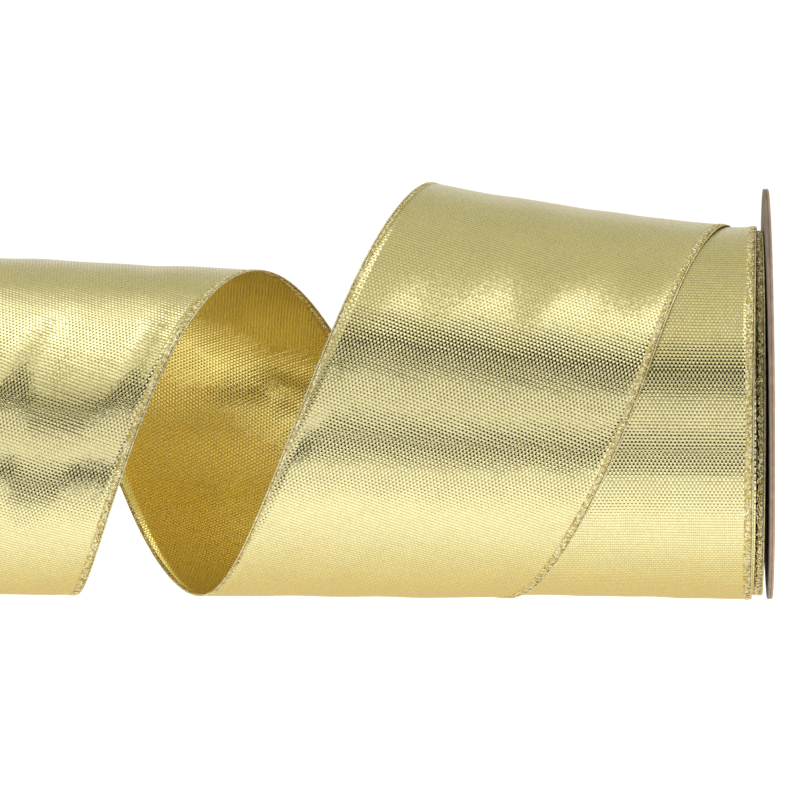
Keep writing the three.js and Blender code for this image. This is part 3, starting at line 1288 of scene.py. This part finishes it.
@dataclass
class CardboardSpool:
    """The cardboard spool: tube, two faced flanges and the strip of tape that starts the ribbon.

    It is glued by hand, so the right flange leans a little, and sits a little low and far out.
    """

    hole_radius: float = 0.009
    rim_softness: float = 0.00018
    rim_reach: float = 0.001  # how near a cut edge a point counts as being on it
    rim_shake: float = 0.00006
    rim_loss: float = 0.00004
    rim_grain: float = 260.0
    glue_gap: float = 0.0001
    print_ring: float = 0.00012  # how deep the tube's end prints through
    print_flat: float = 0.0006
    print_slope: float = 0.0014
    lean: float = 0.010  # how much the right flange leans over, as a slope
    glued_out: float = 0.00012  # its extra glue line
    glued_low: float = 0.0006  # how far below the tube's centre it is glued
    segments: int = 160
    tube_wall: float = 0.0018
    tube_softness: float = 0.0003
    tube_segments: int = 96
    tube_steps: int = 48
    seam_lead: float = 0.046
    seam_depth: float = 0.00018
    seam_share: float = 0.02  # the seam's width, as a share of its lead

    def disc(self, name: str, node: str, place: SpoolPlace, finish: Finish, pressed: int) -> bpy.types.Object:
        """Builds one layer of a flange, with softened edges and the tube's faint printed-through ring.

        Args:
            name: the piece's name.
            node: the CAD node whose place it takes.
            place: the spool's place.
            finish: its finish.
            pressed: the face that shows the ring: 1 for the high face, -1 for the low face, 0 for none.

        Returns:
            The layer.
        """
        low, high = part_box(node)
        a, b = low.x - place.centre.x, high.x - place.centre.x
        if finish is KRAFT_FACING:  # the facing is glued down, with no gap behind it
            a, b = (a - self.glue_gap, b) if a > 0 else (a, b + self.glue_gap)
        soft, outer, hole = min(self.rim_softness, (b - a) * 0.3), place.flange_radius, self.hole_radius
        ring, lift = place.core_radius - self.tube_wall / 2, self.print_ring
        flat, slope = self.print_flat, self.print_slope
        low_face = [outer - soft, ring + slope, ring + flat, ring - flat, ring - slope, hole + soft]
        low_lift = [0, 0, lift, lift, 0, 0]
        outline = [(outer, a + soft)]
        outline += [(r, a + (h if pressed < 0 else 0)) for r, h in zip(low_face, low_lift)]
        outline += [(hole, a + soft), (hole, b - soft)]
        outline += [(r, b - (h if pressed > 0 else 0)) for r, h in zip(low_face[::-1], low_lift[::-1])]
        outline += [(outer, b - soft)]
        thing = turned(name, outline, place, self.segments)
        self.soften_rim(thing, place)
        if a > 0:
            for vertex in thing.data.vertices:
                vertex.co.x += self.glued_out - self.lean * (vertex.co.z - place.centre.z)
                vertex.co.z -= self.glued_low
        thing.data.materials.append(finish.material())
        return thing

    def soften_rim(self, thing: bpy.types.Object, place: SpoolPlace) -> None:
        """Makes a cut rim very slightly uneven, as die-cut board is.

        Args:
            thing: the flange layer.
            place: the spool's place.
        """
        for vertex in thing.data.vertices:
            offset = vertex.co - place.centre
            radius = math.hypot(offset.y, offset.z)
            at_rim = radius > place.flange_radius - self.rim_reach
            at_hole = radius < self.hole_radius + self.rim_reach
            if at_rim or at_hole:
                shake = noise.noise(vertex.co * self.rim_grain) * self.rim_shake
                scale = 1 + (shake - self.rim_loss) / radius
                vertex.co.y = place.centre.y + offset.y * scale
                vertex.co.z = place.centre.z + offset.z * scale

    def tube(self, place: SpoolPlace) -> bpy.types.Object:
        """Builds the core tube, with softened ends and its spiral-wound seams as shallow grooves.

        Args:
            place: the spool's place.

        Returns:
            The tube.
        """
        low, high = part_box("core_tube")
        a, b = low.x - place.centre.x, high.x - place.centre.x
        outer, inner = place.core_radius, place.core_radius - self.tube_wall
        soft, steps = self.tube_softness, self.tube_steps
        inside = [(inner, a + soft + (b - a - 2 * soft) * i / steps) for i in range(steps + 1)]
        outline = [(outer, a + soft), (outer - soft, a), (inner + soft, a)] + inside
        outline += [(inner + soft, b), (outer - soft, b), (outer, b - soft)]
        thing = turned("core_tube_wound", outline, place, self.tube_segments)
        for vertex in thing.data.vertices:
            offset = vertex.co - place.centre
            radius = math.hypot(offset.y, offset.z)
            if radius < inner + 0.00001 and a + 0.001 < offset.x < b - 0.001:
                phase = (math.atan2(offset.z, offset.y) / TURN + offset.x / self.seam_lead) % 1.0
                depth = self.seam_depth * math.exp(-(((phase - 0.5) / self.seam_share) ** 2))
                scale = (radius + depth) / radius
                vertex.co.y = place.centre.y + offset.y * scale
                vertex.co.z = place.centre.z + offset.z * scale
        thing.data.materials.append(KRAFT_TUBE.material())
        return thing

    def build(self, place: SpoolPlace) -> None:
        """Args:
            place: the spool's place.
        """
        layers = (
            ("flange_board", "flange_board_cut", GREY_BOARD, "grey_board"),
            ("flange_facing", "flange_facing_cut", KRAFT_FACING, "kraft_facing"),
        )
        for side in Side:
            for node, piece, finish, slot in layers:
                pressed = side.sign if node == "flange_facing" else 0
                layer = self.disc(f"{side.value}_{piece}", f"{side.value}_{node}", place, finish, pressed)
                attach(layer, Body.SPOOL.value)
                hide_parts(f"{side.value}_{node}")
            LOG.info("%s flange: board and facing", side.value)
        tube = self.tube(place)
        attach(tube, Body.SPOOL.value)
        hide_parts("core_tube")
        LOG.info("core tube: %d faces", len(tube.data.polygons))
        tape = frame["nodes"]["start_tape"]
        for slot in tape.material_slots:
            slot.material = TAPE_FILM.material()
        LOG.info("start tape: finished in place")


# ------------------------------------------------------------------ the studio


@dataclass(frozen=True)
class SkyBand:
    """One stretch of the studio around the spool, by the angle from the front over the top."""

    angle: float
    light: float
    tint: Colour = (1.0, 1.0, 1.0)


KHAKI = (1.0, 0.98, 0.76)
PALE = (1.0, 0.96, 0.82)
WARM = (1.0, 0.89, 0.60)
DEEP = (1.0, 0.82, 0.46)
TABLE = (
    SkyBand(-180, 0.76, DEEP), SkyBand(-138, 0.90, DEEP), SkyBand(-117, 0.99, WARM), SkyBand(-92, 1.15, PALE),
    SkyBand(-78, 1.28), SkyBand(-60, 1.42),
)
WINDOW = (
    SkyBand(-35, 1.42), SkyBand(-31, 0.01), SkyBand(-20, 0.01), SkyBand(-16, 1.12),
    SkyBand(16, 1.12), SkyBand(19, 0.01), SkyBand(36, 0.01),
)
LOW_WINDOW = (SkyBand(-47, 1.42), SkyBand(-43, 0.01), SkyBand(-31, 0.01), SkyBand(-27, 1.12))
BACK = (SkyBand(162, 0.8), SkyBand(180, 0.76, DEEP))


@dataclass
class Studio:
    """The camera, the pale floor and the soft light of the studio."""

    stand_off: float = 0.645
    aside: float = 0.0199
    height: float = 0.0425
    yaw: float = 5.66
    lens: float = 135.7
    floor_size: float = 30.0
    bands: tuple[SkyBand, ...] = (
        *TABLE, *WINDOW, SkyBand(39, 0.64), SkyBand(44, 0.80), SkyBand(50, 1.3), SkyBand(53, 2.4),
        SkyBand(61, 2.4), SkyBand(64, 1.3), SkyBand(78, 0.70, KHAKI), SkyBand(148, 0.64, KHAKI), *BACK,
    )
    gap_bands: tuple[SkyBand, ...] = (
        *TABLE, *WINDOW, SkyBand(39, 0.64, KHAKI), SkyBand(148, 0.64, KHAKI), *BACK,
    )
    side_bands: tuple[SkyBand, ...] = (
        *TABLE, *LOW_WINDOW, SkyBand(2, 1.12), SkyBand(5, 0.03), SkyBand(13, 0.03), SkyBand(17, 0.60, KHAKI),
        SkyBand(28, 0.78, KHAKI), SkyBand(40, 1.15), SkyBand(58, 1.7), SkyBand(68, 3.0), SkyBand(82, 3.0),
        SkyBand(92, 1.5), SkyBand(102, 0.9), SkyBand(112, 0.68, KHAKI), SkyBand(148, 0.60, KHAKI), *BACK,
    )
    far_bands: tuple[SkyBand, ...] = (
        *TABLE, *LOW_WINDOW, SkyBand(4, 1.12), SkyBand(7, 0.01), SkyBand(15, 0.01), SkyBand(19, 0.60, KHAKI),
        SkyBand(64, 0.60, KHAKI), SkyBand(76, 0.8), SkyBand(84, 1.8), SkyBand(96, 1.8), SkyBand(106, 0.9),
        SkyBand(114, 0.68, KHAKI), SkyBand(148, 0.60, KHAKI), *BACK,
    )
    slant: float = 9.0  # how far the bright box climbs across the front, in degrees
    box_near: float = 3.0  # degrees aside where the bright box begins
    box_full: float = 10.5  # degrees aside where it is whole
    left_near: float = -6.8  # degrees aside where the left side's own light begins
    left_full: float = -8.6
    left_lean: float = 2.8  # how far that start moves to the right, high up
    far_near: float = -9.4  # and where the far left's begins
    far_full: float = -11.2
    strength: float = 10.0
    backdrop: float = 1.05  # what the camera sees behind everything
    end_light: Colour = (0.075, 0.073, 0.066)  # the walls at the spool's two ends

    def place_camera(self, place: SpoolPlace) -> None:
        """Sets a level camera in front of the spool, turned slightly along the ribbon.

        Args:
            place: the spool's place.
        """
        data = bpy.data.cameras.new("camera")
        data.lens = self.lens
        data.sensor_width = 36.0
        data.clip_start = 0.01
        camera = bpy.data.objects.new("camera", data)
        camera.location = (place.centre.x + self.aside, place.centre.y - self.stand_off, self.height)
        camera.rotation_euler = (math.pi / 2, 0.0, math.radians(self.yaw))
        bpy.context.scene.collection.objects.link(camera)
        bpy.context.scene.camera = camera

    def lay_floor(self) -> None:
        """Lays a plain white floor under the ribbon."""
        half = self.floor_size / 2
        signs = np.array([(-1, -1, 0), (1, -1, 0), (1, 1, 0), (-1, 1, 0)], dtype=float)
        corners = signs * half
        floor = make_object("floor", corners, [[0, 1, 2, 3]], smooth=False)
        white = bpy.data.materials.new("white floor")
        white.use_nodes = True
        shader = white.node_tree.nodes["Principled BSDF"]
        shader.inputs["Base Color"].default_value = rgba((0.9, 0.9, 0.9))
        shader.inputs["Roughness"].default_value = 1.0
        shader.inputs["Specular IOR Level"].default_value = 0.0
        shader.inputs["Emission Color"].default_value = rgba((1.0, 1.0, 1.0))
        shader.inputs["Emission Strength"].default_value = 0.85
        floor.data.materials.append(white)
        floor.visible_glossy = False

    def ramp(
        self, graph: Graph, angle: bpy.types.NodeSocket, bands: tuple[SkyBand, ...]
    ) -> bpy.types.NodeSocket:
        """Turns a list of bands into a smooth ramp of light.

        Args:
            graph: the world's graph.
            angle: the angle from the front over the top, from 0 to 1 for -180 to 180 degrees.
            bands: the bands.

        Returns:
            The light's colour, as a share of the studio's strength.
        """
        node = graph.node("ShaderNodeValToRGB")
        graph.feed(node.inputs[0], angle)
        stops = node.color_ramp.elements
        while len(stops) < len(bands):
            stops.new(0.5)
        for stop in stops:
            stop.position = 0.0
        for k, band in enumerate(bands):
            stops[k].position = (band.angle + 180) / 360
            stops[k].color = rgba(tuple(band.light * c / self.strength for c in band.tint))
        return node.outputs[0]

    def light_studio(self) -> None:
        """Surrounds the spool with soft light: pale walls, dark gaps and a bright box over the front.

        Directions are read as the angle from the front over the top, from 0 to 1 for -180 to 180
        degrees, and as degrees aside, towards the right end of the spool.
        """
        world = bpy.data.worlds.new("studio")
        bpy.context.scene.world = world
        world.use_nodes = True
        tree = world.node_tree
        tree.nodes.clear()
        graph = Graph(tree)
        way = graph.node("ShaderNodeSeparateXYZ")
        graph.feed(way.inputs[0], graph.node("ShaderNodeTexCoord").outputs["Generated"])
        x, y, z = way.outputs
        turn = graph.math("ARCTAN2", z, graph.math("MULTIPLY", y, -1.0))
        angle = graph.math("MULTIPLY_ADD", turn, 1 / TURN, 0.5)
        aside = graph.math("MULTIPLY", graph.math("ARCSINE", x), 180 / math.pi)
        climb = graph.fade(aside, 4.0, self.box_full, 0.3 * self.slant / 360, -0.7 * self.slant / 360)
        upper = graph.fade(angle, 0.5 + 39 / 360, 0.5 + 54 / 360)
        tilted = graph.math("MULTIPLY_ADD", climb, upper, angle)
        main = graph.blend(
            graph.fade(aside, self.box_near, self.box_full),
            self.ramp(graph, tilted, self.gap_bands),
            self.ramp(graph, tilted, self.bands),
        )
        left = graph.blend(
            graph.fade(aside, self.far_near, self.far_full),
            self.ramp(graph, angle, self.side_bands),
            self.ramp(graph, angle, self.far_bands),
        )
        moved = graph.fade(angle, 0.5 + 25 / 360, 0.5 + 45 / 360, 0.0, self.left_lean)
        edge = graph.math("SUBTRACT", aside, moved)
        main = graph.blend(graph.fade(edge, self.left_near, self.left_full), main, left)
        ends = graph.fade(graph.math("ABSOLUTE", aside), 55.0, 75.0)
        main = graph.blend(ends, main, rgba(self.end_light))
        soft = graph.call("ShaderNodeBackground", {"Color": main, "Strength": self.strength})
        white = graph.call(
            "ShaderNodeBackground", {"Color": rgba((1.0, 1.0, 1.0)), "Strength": self.backdrop}
        )
        seen = graph.node("ShaderNodeLightPath").outputs["Is Camera Ray"]
        both = graph.node("ShaderNodeMixShader")
        graph.feed(both.inputs[0], seen)
        graph.feed(both.inputs[1], soft)
        graph.feed(both.inputs[2], white)
        end = graph.node("ShaderNodeOutputWorld")
        graph.feed(end.inputs[0], both.outputs[0])

    def build(self, place: SpoolPlace) -> None:
        """Sets up the camera, the floor and the light.

        Args:
            place: the spool's place.
        """
        self.place_camera(place)
        self.lay_floor()
        self.light_studio()
        bpy.context.scene.view_settings.view_transform = "Standard"
        LOG.info("studio: camera, floor and light")


def main() -> None:
    """Builds the studio and then the spool's pieces, from the ribbon inwards."""
    logging.basicConfig(level=logging.INFO, format="%(name)s: %(message)s")
    place = SpoolPlace.from_frame()
    Studio().build(place)
    LooseRibbon().build(place)
    WoundTurns().build(place)
    CardboardSpool().build(place)
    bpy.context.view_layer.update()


if __name__ == "__main__":
    main()
